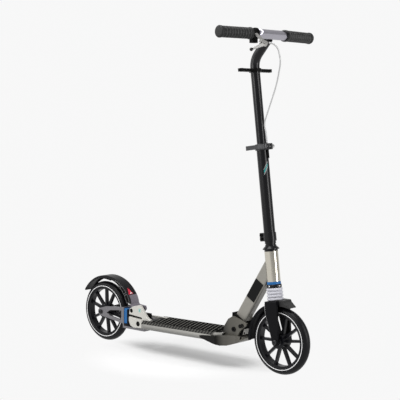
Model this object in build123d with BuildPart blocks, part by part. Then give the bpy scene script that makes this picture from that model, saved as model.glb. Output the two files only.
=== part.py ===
from build123d import *
import os
from math import atan2, cos, degrees, pi, radians, sin, tan

# Folding kick scooter with 200 mm wheels, millimetres.
# +X is forward, +Y is the rider's left, +Z is up; the origin is on the ground, midway between the axles.

# Driving dimensions
WHEELBASE = 748.0
WHEEL_R = 100.0
TYRE_HALF_WIDTH = 15.0
FRONT_X = WHEELBASE / 2
REAR_X = -WHEELBASE / 2
AXLE_Z = WHEEL_R
TILT = 6.85  # the steering axis leans back by this many degrees
AXLE_OFFSET = 10.2  # the axle sits this far ahead of the steering axis
STEER_X = FRONT_X - AXLE_OFFSET
AXLE_R = 4.0
FIT = 0.05  # radial clearance of a shaft in its hole
GAP = 0.3  # clearance between faces of different bodies

# Wheels
RIM_R = 79.0
WINDOW_R = 74.0
HUB_R = 22.0
HUB_HALF = 18.0
BEARING_R = 11.0
BEARING_WIDTH = 7.0
SLEEVE_R = 6.5

# Deck
DECK_PITCH = 0.9
DECK_X = -6.0
DECK_Z = 86.0
DECK_REAR = -166.0
DECK_FRONT = 178.0
DECK_HALF_WIDTH = 60.0
MAT_HALF_WIDTH = 52.5
MAT_THICKNESS = 1.6
PLATE_INNER = 37.0
PLATE_OUTER = 46.0

# Rear suspension and foot brake
ARM_PIVOT = (-181.0, 85.0)
FENDER_PIVOT = (-211.0, 125.0)
ARM_INNER = 24.0
ARM_OUTER = 30.0
CROSS_REAR = -268.0
CROSS_FRONT = -263.0
BLOCK_REAR = -248.0
FENDER_HALF_WIDTH = 19.0
FENDER_WALL = 2.2

# Fold hinge
FOLD_PIVOT = (215.0, 118.0)
CHEEK_INNER = 25.0
CHEEK_OUTER = 31.0

# Front frame: distances s along the steering axis, from the axle's height
S_CROWN = 118.0
S_COLLAR = 156.3
S_RING = 166.2
S_HEAD = 174.2
S_CAP = 263.9
S_NUT = 279.0
S_CLAMP = 294.0
S_LOWER_TUBE = 319.0
S_QR = 562.0
S_LOWER_TOP = 580.0
S_UPPER_BOTTOM = 506.0
S_HOLDER = 798.0
HEAD_R = 20.3
STEERER_R = 14.0
SLIDER_R = 11.0
LOWER_TUBE_R = 17.0
UPPER_TUBE_R = 14.0
BELLOWS_R = 24.5
FORK_INNER = 26.0
FORK_OUTER = 33.0

# Handlebar
BAR_X = 327.0
BAR_Z = 994.0
BAR_STRAIGHT = 50.0
BAR_SWEEP = 6.35
BAR_R = 11.0
GRIP_R = 16.2
GRIP_END = 206.0
STEM_LEAN = 41.0
CABLE_D = 4.4

os.makedirs("parts", exist_ok=True)
tilt = radians(TILT)
pitch = radians(DECK_PITCH)


def save(part, name):
    part.label = name
    export_step(part, f"parts/{name}.step")


def steer_point(a, s, y=0.0):
    """A point a forward of the steering axis and s along it."""
    return (STEER_X + a * cos(tilt) - s * sin(tilt), y, AXLE_Z + a * sin(tilt) + s * cos(tilt))


def steer_plane(s):
    """A plane square to the steering axis, with local x forward and local y to the left."""
    return Plane(origin=steer_point(0, s), x_dir=(cos(tilt), 0, sin(tilt)), z_dir=(-sin(tilt), 0, cos(tilt)))


def side_plane(y=0.0):
    """The world's XZ plane at y, with local x forward and local y up; its normal is -Y."""
    return Plane(origin=(0, y, 0), x_dir=(1, 0, 0), z_dir=(0, -1, 0))


def steer_side(y=0.0):
    """The side plane turned with the steering axis: local x is a, local y is s."""
    return Plane(origin=steer_point(0, 0, y), x_dir=(cos(tilt), 0, sin(tilt)), z_dir=(0, -1, 0))


def axle_plane(x, y=0.0, z=AXLE_Z):
    """A plane at y whose normal is +Y, centred on an axle or a pin."""
    return Plane(origin=(x, y, z), x_dir=(0, 0, 1), z_dir=(0, 1, 0))


def bar_point(along, side):
    """A point on the handlebar's centre line; the arms sweep back beyond the straight middle."""
    swept = max(along - BAR_STRAIGHT, 0.0)
    sweep = radians(BAR_SWEEP)
    straight = min(along, BAR_STRAIGHT)
    return (BAR_X - swept * sin(sweep), side * (straight + swept * cos(sweep)), BAR_Z)


def bar_plane(along, side):
    """A plane square to the handlebar's arm, with its normal pointing outwards."""
    sweep = radians(BAR_SWEEP)
    return Plane(origin=bar_point(along, side), x_dir=(0, 0, 1), z_dir=(-sin(sweep), side * cos(sweep), 0))


def tyre(axle_x):
    radial = Plane(origin=(axle_x, 0, AXLE_Z), x_dir=(0, 1, 0), z_dir=(1, 0, 0))
    with BuildPart() as part:
        with BuildSketch(radial):
            with BuildLine():
                Line((-11, RIM_R), (11, RIM_R))
                Line((11, RIM_R), (TYRE_HALF_WIDTH, 84.5))
                ThreePointArc((TYRE_HALF_WIDTH, 84.5), (0, WHEEL_R), (-TYRE_HALF_WIDTH, 84.5))
                Line((-TYRE_HALF_WIDTH, 84.5), (-11, RIM_R))
            make_face()
        revolve(axis=Axis((axle_x, 0, AXLE_Z), (0, 1, 0)))
    return part.part


def polar(radius, angle):
    return (radius * cos(radians(angle)), radius * sin(radians(angle)))


def spoke(centre, side):
    """One spoke's outline in the wheel's plane; the two spokes of a pair stand either side of the centre."""
    root, tip = Vector(*polar(17, centre + side * 17)), Vector(*polar(76, centre + side * 15.5))
    across = (tip - root).normalized().rotate(Axis.Z, 90)
    return [root + across * 4.4, tip + across * 3.6, tip - across * 3.6, root - across * 4.4]


def rim(axle_x, phase):
    """Ten slim spokes in five pairs between the hub and the rim ring."""
    web = Plane(origin=(axle_x, 0, AXLE_Z), x_dir=(1, 0, 0), z_dir=(0, -1, 0))
    with BuildPart() as part:
        with BuildSketch(web):
            Circle(RIM_R)
            Circle(WINDOW_R, mode=Mode.SUBTRACT)
            Circle(HUB_R)
            for turn in range(5):
                for side in (-1, 1):
                    with BuildLine():
                        Polyline(*spoke(phase + 72 * turn, side), close=True)
                    make_face()
            Circle(8, mode=Mode.SUBTRACT)
        extrude(amount=5, both=True)
        with BuildSketch(web):
            Circle(RIM_R)
            Circle(WINDOW_R, mode=Mode.SUBTRACT)
            Circle(HUB_R)
            Circle(8, mode=Mode.SUBTRACT)
        extrude(amount=HUB_HALF - BEARING_WIDTH, both=True)
        for side in (-1, 1):
            with BuildSketch(axle_plane(axle_x, side * (HUB_HALF - BEARING_WIDTH))):
                Circle(HUB_R)
                Circle(BEARING_R, mode=Mode.SUBTRACT)
            extrude(amount=side * BEARING_WIDTH)
    return part.part


def bearings(axle_x):
    """Two sealed bearings and the sleeve between their inner rings."""
    with BuildPart() as part:
        for side in (-1, 1):
            with BuildSketch(axle_plane(axle_x, side * (HUB_HALF - BEARING_WIDTH / 2))):
                Circle(BEARING_R)
                Circle(AXLE_R + FIT, mode=Mode.SUBTRACT)
            extrude(amount=BEARING_WIDTH / 2, both=True)
        with BuildSketch(axle_plane(axle_x)):
            Circle(SLEEVE_R)
            Circle(AXLE_R + FIT, mode=Mode.SUBTRACT)
        extrude(amount=HUB_HALF - BEARING_WIDTH - FIT, both=True)
    return part.part


def axle(axle_x, outer):
    """An axle bolt with a domed head on the right and a nut on the left."""
    with BuildPart() as part:
        with BuildSketch(axle_plane(axle_x, -outer)):
            Circle(AXLE_R)
        extrude(amount=2 * outer + 5)
        with BuildSketch(axle_plane(axle_x, -outer - 4.5)):
            Circle(7.5)
        extrude(amount=4.5)
        chamfer(part.faces().sort_by(Axis.Y)[0].edges(), 1.2)
        with BuildSketch(axle_plane(axle_x, -outer - 4.5)):
            RegularPolygon(3, 6)
        extrude(amount=2.5, mode=Mode.SUBTRACT)
        with BuildSketch(axle_plane(axle_x, outer + 5)):
            Circle(AXLE_R)
        extrude(amount=-5, mode=Mode.SUBTRACT)
        with BuildSketch(axle_plane(axle_x, outer)):
            RegularPolygon(7.5, 6)
        extrude(amount=6)
    return part.part


def axle_spacers(axle_x, inner):
    """A ring on each side, between the hub's bearing and the blade."""
    with BuildPart() as part:
        for side in (-1, 1):
            with BuildSketch(axle_plane(axle_x, side * inner)):
                Circle(7)
                Circle(AXLE_R, mode=Mode.SUBTRACT)
            extrude(amount=-side * (inner - HUB_HALF - GAP))
    return part.part


for name, axle_x, phase in (("front", FRONT_X, 22.0), ("rear", REAR_X, 4.0)):
    save(tyre(axle_x), f"{name}_tyre")
    save(rim(axle_x, phase), f"{name}_rim")
    save(bearings(axle_x), f"{name}_bearings")

save(axle(FRONT_X, FORK_OUTER), "front_axle")
save(axle(REAR_X, ARM_OUTER), "rear_axle")
save(axle_spacers(FRONT_X, FORK_INNER), "front_axle_spacers")
save(axle_spacers(REAR_X, ARM_INNER), "rear_axle_spacers")


# ---------------------------------------------------------------- deck

def deck_plane(w):
    """A plane parallel to the deck's top, w above its middle; local x and y are world x and y."""
    return Plane(
        origin=(DECK_X - w * sin(pitch), 0, DECK_Z + w * cos(pitch)),
        x_dir=(cos(pitch), 0, sin(pitch)),
        z_dir=(-sin(pitch), 0, cos(pitch)),
    )


DECK_TOP = 14.4
DECK_BOTTOM = -13.6
rear_u = DECK_REAR - DECK_X
front_u = DECK_FRONT - DECK_X
notch_u = -125.0 - DECK_X
section = Plane(
    origin=(DECK_X, 0, DECK_Z), x_dir=(0, 1, 0), z_dir=(cos(pitch), 0, sin(pitch))
).offset(rear_u - 5)

deck_outline = [(-44, DECK_BOTTOM), (44, DECK_BOTTOM), (56, -8), (60, -1), (60, 7), (53, DECK_TOP)]
deck_outline += [(-53, DECK_TOP), (-60, 7), (-60, -1), (-56, -8)]
deck_plan = [(rear_u, -PLATE_OUTER), (rear_u + 26, -60.5), (front_u - 32, -60.5), (front_u, -42)]
deck_plan += [(front_u, 42), (front_u - 32, 60.5), (rear_u + 26, 60.5), (rear_u, PLATE_OUTER)]

with BuildPart() as deck_envelope:
    with BuildSketch(section):
        with BuildLine():
            Polyline(*deck_outline, close=True)
        make_face()
    extrude(amount=front_u - rear_u + 10)
    with BuildSketch(deck_plane(-30)):
        with BuildLine():
            Polyline(*deck_plan, close=True)
        make_face()
    extrude(amount=60, mode=Mode.INTERSECT)

with BuildPart() as deck_platform:
    add(deck_envelope.part)
    with BuildSketch(section):
        with Locations((-22, 0.4), (22, 0.4)):
            Rectangle(38, 22)
    extrude(amount=front_u - rear_u + 10, mode=Mode.SUBTRACT)
    with BuildSketch(deck_plane(-30)):
        with Locations(((rear_u - 10 + notch_u) / 2, 0)):
            Rectangle(notch_u - rear_u + 10, 2 * PLATE_OUTER)
        with Locations((front_u - 4, 0)):
            Rectangle(48.6, 2 * CHEEK_OUTER + 2 * FIT)
    extrude(amount=60, mode=Mode.SUBTRACT)
save(deck_platform.part, "deck_platform")

with BuildPart() as grip_mat:
    with BuildSketch(deck_plane(DECK_TOP)):
        with BuildLine():
            half = [(-149, 0), (-149, 50), (-141, MAT_HALF_WIDTH), (front_u - 28, MAT_HALF_WIDTH)]
            half += [(front_u - 8, 40), (front_u - 8, 0)]
            Polyline(*half, *[(u, -v) for u, v in reversed(half[1:-1])], close=True)
        make_face()
        with Locations((notch_u - 50, 0)):
            Rectangle(100.6, 2 * PLATE_OUTER + 1, mode=Mode.SUBTRACT)
        with Locations((front_u - 4, 0)):
            Rectangle(48.6, 2 * CHEEK_OUTER + 1, mode=Mode.SUBTRACT)
    extrude(amount=MAT_THICKNESS)
save(grip_mat.part, "grip_mat")


def rear_plate(side):
    """One side of the tail casting; only the right one has the upper lobe that carries the foot brake."""
    lower = [(-125.6, 80), (-160, 73), (-203, 70), (-217, 76), (-224, 90)]
    if side < 0:
        upper = [(-222, 112), (-219, 131), (-205, 139), (-178, 146), (-170, 146), (-141, 111), (-125.6, 104)]
        outline = upper + lower + [(-223, 104.5), (-165, 100.5), (-162, 104), (-165, 107.5)]
        pivots = ((FENDER_PIVOT, 7.0), (ARM_PIVOT, 8.5))
    else:
        outline = [(-219, 99), (-125.6, 100)] + lower
        pivots = ((ARM_PIVOT, 8.5),)
    with BuildPart() as part:
        with BuildSketch(side_plane(side * (PLATE_INNER + PLATE_OUTER) / 2)) as profile:
            with BuildLine():
                Polyline(*outline, close=True)
            make_face()
            fillet(profile.vertices().filter_by_position(Axis.X, -224.5, -203), 2.5)
            for at, radius in pivots:
                with Locations(at):
                    Circle(AXLE_R, mode=Mode.SUBTRACT)
        extrude(amount=(PLATE_OUTER - PLATE_INNER) / 2, both=True)
        outer = part.faces().sort_by(Axis.Y)[0 if side < 0 else -1]
        chamfer(outer.outer_wire().edges(), 1.0)
        for at, radius in pivots:
            with BuildSketch(side_plane(side * PLATE_OUTER)):
                with Locations(at):
                    Circle(radius)
            extrude(amount=side * 3, mode=Mode.SUBTRACT)
    return part.part


save(rear_plate(-1), "rear_plate_right")
save(rear_plate(1), "rear_plate_left")


with BuildPart() as rear_pivot_pins:
    for at, head_r, left_y in ((FENDER_PIVOT, 6.2, 17.4), (ARM_PIVOT, 7.6, PLATE_OUTER - 3)):
        with BuildSketch(axle_plane(at[0], 3 - PLATE_OUTER, at[1])):
            Circle(AXLE_R)
        extrude(amount=PLATE_OUTER - 3 + left_y)
        for y, way in ((3 - PLATE_OUTER, -1), (left_y, 1)):
            with BuildSketch(axle_plane(at[0], y, at[1])):
                Circle(head_r)
                RegularPolygon(2.6, 6, mode=Mode.SUBTRACT)
            extrude(amount=way * 2.2)
save(rear_pivot_pins.part, "rear_pivot_pins")

with BuildPart() as stop_block:
    with BuildSketch(side_plane()):
        with BuildLine():
            Polyline((BLOCK_REAR, 73), (-199, 73), (-199, 108), (-224, 108), (-226, 121), (BLOCK_REAR, 121),
                     close=True)
        make_face()
    extrude(amount=ARM_OUTER, both=True)
    for side in (-1, 1):
        with BuildSketch(side_plane(side * (ARM_OUTER + PLATE_INNER) / 2)):
            with Locations((-209, 90.5)):
                Rectangle(20, 31)
        extrude(amount=(PLATE_INNER - ARM_OUTER) / 2, both=True)
save(stop_block.part, "suspension_stop_block")

with BuildPart() as tail_block:
    with BuildSketch(side_plane()):
        with BuildLine():
            Polyline((-160, 74), (-125.6, 74), (-125.6, 97.4), (-160, 97), close=True)
        make_face()
    extrude(amount=PLATE_INNER, both=True)
    chamfer(tail_block.edges().filter_by(Axis.Y), 1)
save(tail_block.part, "deck_tail_block")

with BuildPart() as elastomer:
    with BuildSketch(side_plane()):
        with Locations(((CROSS_FRONT + BLOCK_REAR) / 2, 99)):
            Rectangle(BLOCK_REAR - CROSS_FRONT - 2 * GAP, 50)
    extrude(amount=ARM_OUTER - 1.5, both=True)
    fillet(elastomer.edges().filter_by(Axis.X), 3)
save(elastomer.part, "suspension_elastomer")

with BuildPart() as swingarm:
    for side in (-1, 1):
        with BuildSketch(side_plane(side * (ARM_INNER + ARM_OUTER) / 2)) as arm:
            with BuildLine():
                Polyline((REAR_X, 113), (-348, 121), (CROSS_FRONT, 128), (CROSS_FRONT, 72), (-348, 84),
                         (REAR_X, 87), close=True)
            make_face()
            with Locations((REAR_X, AXLE_Z)):
                Circle(13.2)
            with BuildLine():
                Polyline((-346, 100), (-330, 110.5), (-275, 116.5), (-275, 84), (-330, 92), close=True)
            make_face(mode=Mode.SUBTRACT)
            with Locations((REAR_X, AXLE_Z)):
                Circle(AXLE_R, mode=Mode.SUBTRACT)
        extrude(amount=(ARM_OUTER - ARM_INNER) / 2, both=True)
    with BuildSketch(side_plane()):
        with Locations(((CROSS_REAR + CROSS_FRONT) / 2, 94)):
            Rectangle(CROSS_FRONT - CROSS_REAR, 68)
    extrude(amount=ARM_OUTER, both=True)
    with BuildSketch(side_plane()):
        with Locations(((CROSS_REAR - 168) / 2, 62.5)):
            Rectangle(-168 - CROSS_REAR, 7)
    extrude(amount=ARM_OUTER, both=True)
    for side in (-1, 1):
        with BuildSketch(side_plane(side * 25)):
            with Locations(ARM_PIVOT):
                Circle(10.5)
                Circle(AXLE_R + FIT, mode=Mode.SUBTRACT)
            with BuildLine():
                Polyline((-191.5, 84), (-196, 60), (-168, 60), (-170.5, 84), close=True)
            make_face()
            with Locations(ARM_PIVOT):
                Circle(AXLE_R + FIT, mode=Mode.SUBTRACT)
        extrude(amount=5, both=True)
save(swingarm.part, "swingarm")


# ---------------------------------------------------------------- rear fender

FENDER_CURVE = [(-465, 166), (-446, 188), (-425, 204), (-372, 222), (-317, 216), (-290, 204)]
FENDER_CURVE += [(-264, 183), (-246, 159), (-240, 138)]
FENDER_EDGE = [(-463.5, 162), (-444, 182), (-422, 197), (-374, 213), (-330, 209), (-300, 194)]
FENDER_EDGE += [(-280, 173), (-268, 155), (-264, 143)]


def pulled_in(points, distance):
    """The same curve moved towards the wheel, square to its own run."""
    moved = []
    for index, (x, z) in enumerate(points):
        before = points[max(index - 1, 0)]
        after = points[min(index + 1, len(points) - 1)]
        run = atan2(after[1] - before[1], after[0] - before[0])
        moved.append((x + distance * sin(run), z - distance * cos(run)))
    return moved


def fender_skin(thickness, half_width):
    """A layer on the fender's outer face, as wide as asked."""
    raised = pulled_in(FENDER_CURVE, -thickness)
    with BuildPart() as part:
        with BuildSketch(side_plane()):
            with BuildLine():
                Spline(*FENDER_CURVE)
                Line(FENDER_CURVE[-1], raised[-1])
                Spline(*reversed(raised))
                Line(raised[0], FENDER_CURVE[0])
            make_face()
        extrude(amount=half_width, both=True)
    return part.part


with BuildPart() as rear_fender:
    with BuildSketch(side_plane()):
        with BuildLine():
            Spline(*FENDER_CURVE)
            Line(FENDER_CURVE[-1], FENDER_EDGE[-1])
            Spline(*reversed(FENDER_EDGE))
            Line(FENDER_EDGE[0], FENDER_CURVE[0])
        make_face()
    extrude(amount=FENDER_HALF_WIDTH, both=True)
    with BuildSketch(side_plane()):
        with BuildLine():
            cavity = pulled_in(FENDER_CURVE, FENDER_WALL)
            Spline(*cavity)
            Polyline(cavity[-1], (-243, 110), (-460, 100), cavity[0])
        make_face()
    extrude(amount=FENDER_HALF_WIDTH - FENDER_WALL, both=True, mode=Mode.SUBTRACT)
save(rear_fender.part, "rear_fender")

bracket_skin = fender_skin(1.8, FENDER_HALF_WIDTH - 2)
with BuildPart() as fender_bracket:
    add(bracket_skin)
    with BuildSketch(side_plane()):
        with BuildLine():
            Polyline((-275, 168), (-230, 168), (-230, 136), (-275, 136), close=True)
        make_face()
    extrude(amount=30, both=True, mode=Mode.INTERSECT)
    with BuildSketch(side_plane()):
        with BuildLine():
            Polyline((-245, 137), (-238.2, 137.6), (-237.6, 141), (-236.2, 139), (-230, 131), (-245, 132),
                     close=True)
        make_face()
    extrude(amount=FENDER_HALF_WIDTH - 2, both=True)
    for side in (-1, 1):
        with BuildSketch(side_plane(side * 14)):
            with BuildLine():
                Polyline((-244, 137), (-205, 134), (-201, 124), (-209, 115.5), (-219, 117), (-226, 126),
                         (-245, 131), close=True)
            make_face()
            with Locations(FENDER_PIVOT):
                Circle(AXLE_R + FIT, mode=Mode.SUBTRACT)
        extrude(amount=3, both=True)
    add(rear_fender.part, mode=Mode.SUBTRACT)
save(fender_bracket.part, "fender_bracket")

with BuildPart() as brake_pad:
    with BuildSketch(side_plane()):
        with BuildLine():
            inside = pulled_in(FENDER_CURVE, FENDER_WALL / 2)
            Spline(*inside)
            Polyline(inside[-1], (-243, 110), (-460, 100), inside[0])
        make_face()
    extrude(amount=11, both=True)
    with BuildSketch(side_plane()):
        with BuildLine():
            Polyline((REAR_X - 18, 207.8), (REAR_X + 2, 209.2), (REAR_X + 28, 205.8), (REAR_X + 28, 240),
                     (REAR_X - 18, 240), close=True)
        make_face()
    extrude(amount=11, both=True, mode=Mode.INTERSECT)
    add(rear_fender.part, mode=Mode.SUBTRACT)
save(brake_pad.part, "brake_pad")

reflector_skin = fender_skin(1.0, FENDER_HALF_WIDTH)
with BuildPart() as reflector:
    with BuildSketch(Plane.YZ.offset(-300)):
        with BuildLine():
            Polyline((-17, 170), (3, 170), (-7, 188), close=True)
        make_face()
    extrude(amount=80)
    add(reflector_skin, mode=Mode.INTERSECT)
save(reflector.part, "fender_reflector")


# ---------------------------------------------------------------- fold hinge

with BuildPart() as front_bracket:
    for side in (-1, 1):
        with BuildSketch(side_plane(side * (CHEEK_INNER + CHEEK_OUTER) / 2)) as cheek:
            with BuildLine():
                front = [(265, 141), (262, 135), (238, 114), (231, 100), (221, 85), (212, 77)]
                Polyline((212, 158), *front, (176, 70.5), (151, 75.5), (151, 98), (172, 102), (178, 126),
                         (192, 147), close=True)
            make_face()
            fillet(cheek.vertices().filter_by_position(Axis.X, 177, 228), 2.5)
            with Locations(FOLD_PIVOT):
                Circle(5, mode=Mode.SUBTRACT)
        extrude(amount=(CHEEK_OUTER - CHEEK_INNER) / 2, both=True)
    with BuildSketch(side_plane()):
        with BuildLine():
            Polyline((152, 76), (176, 71), (212, 77.5), (220, 85), (224, 91), (216, 92), (200, 86),
                     (180, 86), (176, 98), (152, 98), close=True)
        make_face()
    extrude(amount=CHEEK_INNER, both=True)
save(front_bracket.part, "front_bracket")

with BuildPart() as nose_shoe:
    with BuildSketch(Plane.XY.offset(104)):
        with BuildLine():
            half = [(98, 63.5), (162, 63.5), (198, 54), (228, 42), (246, 28), (252, 10)]
            Polyline(*[(x, -y) for x, y in half], *reversed(half), close=True)
        make_face()
    extrude(amount=-42, taper=10)
    with BuildSketch(side_plane()):
        with BuildLine():
            Polyline((94, 87), (104, 81), (128, 75), (152, 69), (176, 65.5), (200, 68), (222, 75), (240, 84),
                     (248, 92), (247, 96), (238, 99), (200, 98), (150, 94.5), (112, 90.5), close=True)
        make_face()
    extrude(amount=70, both=True, mode=Mode.INTERSECT)
    add(deck_envelope.part, mode=Mode.SUBTRACT)
    with BuildSketch(side_plane()):
        with BuildLine():
            Polyline((150, 130), (150, 75.3), (176, 70.3), (214, 76.5), (243, 91), (243, 130), close=True)
        make_face()
    extrude(amount=CHEEK_OUTER, both=True, mode=Mode.SUBTRACT)
save(nose_shoe.part, "nose_shoe")

with BuildPart() as fold_pin:
    with BuildSketch(axle_plane(FOLD_PIVOT[0], -CHEEK_OUTER, FOLD_PIVOT[1])):
        Circle(5)
    extrude(amount=2 * CHEEK_OUTER)
    for side in (-1, 1):
        with BuildSketch(axle_plane(FOLD_PIVOT[0], side * CHEEK_OUTER, FOLD_PIVOT[1])):
            Circle(7.5)
            RegularPolygon(3, 6, mode=Mode.SUBTRACT)
        extrude(amount=side * 2.5)
save(fold_pin.part, "fold_pivot_pin")

LATCH_PIVOT = (199.5, 137.0)
LATCH_HALF_WIDTH = 19.0
with BuildPart() as bracket_fasteners:
    for side in (-1, 1):
        with BuildSketch(side_plane(side * CHEEK_OUTER)):
            with Locations((240, 130), (248, 132.5)):
                Circle(5.8)
            with Locations((240, 130), (248, 132.5)):
                RegularPolygon(2.2, 6, mode=Mode.SUBTRACT)
        extrude(amount=-side * 2)
save(bracket_fasteners.part, "bracket_fasteners")

with BuildPart() as fold_latch:
    with BuildSketch(side_plane()) as latch_profile:
        with BuildLine():
            Polyline((195, 134), (203.5, 134), (204.5, 150), (203, 165), (198.5, 166), (198, 150),
                     close=True)
        make_face()
        with Locations(LATCH_PIVOT):
            Circle(5.6)
            Circle(3 + FIT, mode=Mode.SUBTRACT)
    extrude(amount=LATCH_HALF_WIDTH, both=True)
save(fold_latch.part, "fold_latch")

# ---------------------------------------------------------------- front frame

TUBE_FOOT = (228.0, 153.5)
TUBE_SLOPE = degrees(atan2(0.8418, 0.5398))
TUBE_DEPTH = 40.0
TUBE_HALF_WIDTH = 16.0
tube_run = (cos(radians(TUBE_SLOPE)), 0, sin(radians(TUBE_SLOPE)))


def tube_plane(t):
    """A plane square to the down tube, t along it; local x is across its depth, local y is the width."""
    at = (TUBE_FOOT[0] + t * tube_run[0], 0, TUBE_FOOT[1] + t * tube_run[2])
    return Plane(origin=at, x_dir=(tube_run[2], 0, -tube_run[0]), z_dir=tube_run)


def tube_side(y):
    """The side plane turned with the down tube: local x runs along it, local y across its depth."""
    return Plane(origin=(TUBE_FOOT[0], y, TUBE_FOOT[1]), x_dir=tube_run, z_dir=(0, -1, 0))


with BuildPart() as down_tube:
    with BuildSketch(tube_plane(0)):
        RectangleRounded(TUBE_DEPTH, 2 * TUBE_HALF_WIDTH, 6)
        RectangleRounded(TUBE_DEPTH - 5, 2 * TUBE_HALF_WIDTH - 5, 3.5, mode=Mode.SUBTRACT)
    extrude(amount=202)
    with BuildSketch(steer_plane(S_HEAD)):
        Circle(HEAD_R)
    extrude(amount=140, mode=Mode.SUBTRACT)
    with BuildSketch(steer_plane(S_HEAD)):
        Circle(23)
    extrude(amount=-60, mode=Mode.SUBTRACT)
    with BuildSketch(steer_side()):
        with Locations((60, 200)):
            Rectangle(120, 300)
    extrude(amount=60, both=True, mode=Mode.SUBTRACT)
save(down_tube.part, "down_tube")

with BuildPart() as side_panels:
    for side in (-1, 1):
        with BuildSketch(tube_side(side * TUBE_HALF_WIDTH)):
            with Locations((104.4, 0)):
                RectangleRounded(67, 33, 1.5)
        extrude(amount=-side * 0.9)
save(side_panels.part, "down_tube_panels")

with BuildPart() as knuckle:
    with BuildSketch(side_plane()) as knuckle_profile:
        with BuildLine():
            Polyline((211.2, 164.8), (244.8, 142.2), (247, 122), (240, 100), (222, 99), (206, 112),
                     (206, 150), close=True)
        make_face()
        with Locations(FOLD_PIVOT):
            Circle(13)
            Circle(5 + FIT, mode=Mode.SUBTRACT)
    extrude(amount=CHEEK_INNER - GAP, both=True)
    chamfer(knuckle.edges().filter_by(Axis.Y).group_by(Axis.X)[-1], 3)
    with BuildSketch(tube_plane(0.0)):
        Rectangle(TUBE_DEPTH + 12, 2 * CHEEK_INNER)
    extrude(amount=30, mode=Mode.SUBTRACT)
    with BuildSketch(tube_plane(0.0)):
        RectangleRounded(TUBE_DEPTH - 5.2, 2 * TUBE_HALF_WIDTH - 5.2, 3.4)
    extrude(amount=22)
    for side in (-1, 1):
        with BuildSketch(side_plane(side * (LATCH_HALF_WIDTH + GAP))):
            with Locations(LATCH_PIVOT):
                Circle(6)
            with Locations((LATCH_PIVOT[0] + 5, LATCH_PIVOT[1])):
                Rectangle(10, 12)
        extrude(amount=-side * (CHEEK_INNER - LATCH_HALF_WIDTH - 2 * GAP))
    with BuildSketch(side_plane()):
        with Locations(LATCH_PIVOT):
            Circle(3)
    extrude(amount=CHEEK_INNER - GAP, both=True)
save(knuckle.part, "fold_knuckle")

with BuildPart() as head_tube:
    with BuildSketch(steer_plane(S_HEAD)):
        Circle(HEAD_R)
        Circle(15.5, mode=Mode.SUBTRACT)
    extrude(amount=S_CAP - S_HEAD)
    for start in (S_HEAD, S_CAP - 8):
        with BuildSketch(steer_plane(start)):
            Circle(17)
        extrude(amount=8, mode=Mode.SUBTRACT)
save(head_tube.part, "head_tube")

with BuildPart() as headset_bearings:
    for start in (S_HEAD, S_CAP - 8):
        with BuildSketch(steer_plane(start)):
            Circle(17)
            Circle(STEERER_R + FIT, mode=Mode.SUBTRACT)
        extrude(amount=8)
save(headset_bearings.part, "headset_bearings")

with BuildPart() as headset_ring:
    with BuildSketch(steer_plane(S_RING + GAP)):
        Circle(HEAD_R + 0.4)
        Circle(STEERER_R + GAP, mode=Mode.SUBTRACT)
    extrude(amount=S_HEAD - S_RING - GAP)
save(headset_ring.part, "headset_ring")


# ---------------------------------------------------------------- steerer and lower stem

with BuildPart() as steerer:
    with BuildSketch(steer_plane(150)):
        Circle(STEERER_R)
        Circle(SLIDER_R + FIT, mode=Mode.SUBTRACT)
    extrude(amount=S_LOWER_TUBE - 150)
    with BuildSketch(steer_plane(264)):
        Circle(SLIDER_R + FIT)
    extrude(amount=5)
save(steerer.part, "steerer_tube")

with BuildPart() as lower_collar:
    with BuildSketch(steer_plane(S_COLLAR)):
        Circle(22.3)
        Circle(STEERER_R, mode=Mode.SUBTRACT)
    extrude(amount=S_RING - S_COLLAR)
    chamfer(lower_collar.edges().filter_by(GeomType.CIRCLE).sort_by(SortBy.RADIUS)[-2:], 1.2)
save(lower_collar.part, "lower_collar")

with BuildPart() as headset_cap:
    with BuildSketch(steer_side()):
        with BuildLine():
            Polyline((STEERER_R, S_CAP + GAP), (20, S_CAP + GAP), (20, 268.5), (24.7, 269.5), (24.7, 272),
                     (17.5, S_NUT), (STEERER_R, S_NUT), close=True)
        make_face()
    revolve(axis=Axis(steer_point(0, 0), steer_plane(0).z_dir))
save(headset_cap.part, "headset_cap")

with BuildPart() as headset_nut:
    with BuildSketch(steer_plane(S_NUT)):
        Circle(16.6)
        Circle(STEERER_R, mode=Mode.SUBTRACT)
    extrude(amount=S_CLAMP - S_NUT)
    with BuildSketch(steer_plane(S_NUT + 4)):
        Circle(17.5)
        Circle(14.9, mode=Mode.SUBTRACT)
    extrude(amount=3, mode=Mode.SUBTRACT)
save(headset_nut.part, "headset_nut")

with BuildPart() as lower_tube:
    with BuildSketch(steer_plane(S_CLAMP)):
        Circle(LOWER_TUBE_R)
        Circle(UPPER_TUBE_R + FIT, mode=Mode.SUBTRACT)
    extrude(amount=S_LOWER_TOP - S_CLAMP)
save(lower_tube.part, "lower_tube")

with BuildPart() as stem_clamp:
    with BuildSketch(steer_plane(S_CLAMP)):
        Circle(19.2)
        with Locations((-24, 0)):
            Rectangle(15, 17)
        Circle(LOWER_TUBE_R, mode=Mode.SUBTRACT)
        with Locations((-25, 0)):
            Rectangle(20, 2.4, mode=Mode.SUBTRACT)
    extrude(amount=S_LOWER_TUBE - S_CLAMP)
    chamfer(stem_clamp.edges().filter_by(Axis.Y), 1.5)
    with BuildSketch(steer_side()):
        with Locations((-25.5, S_CLAMP + 7), (-25.5, S_CLAMP + 18)):
            Circle(2.5)
    extrude(amount=20, both=True, mode=Mode.SUBTRACT)
save(stem_clamp.part, "stem_clamp")

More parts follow.
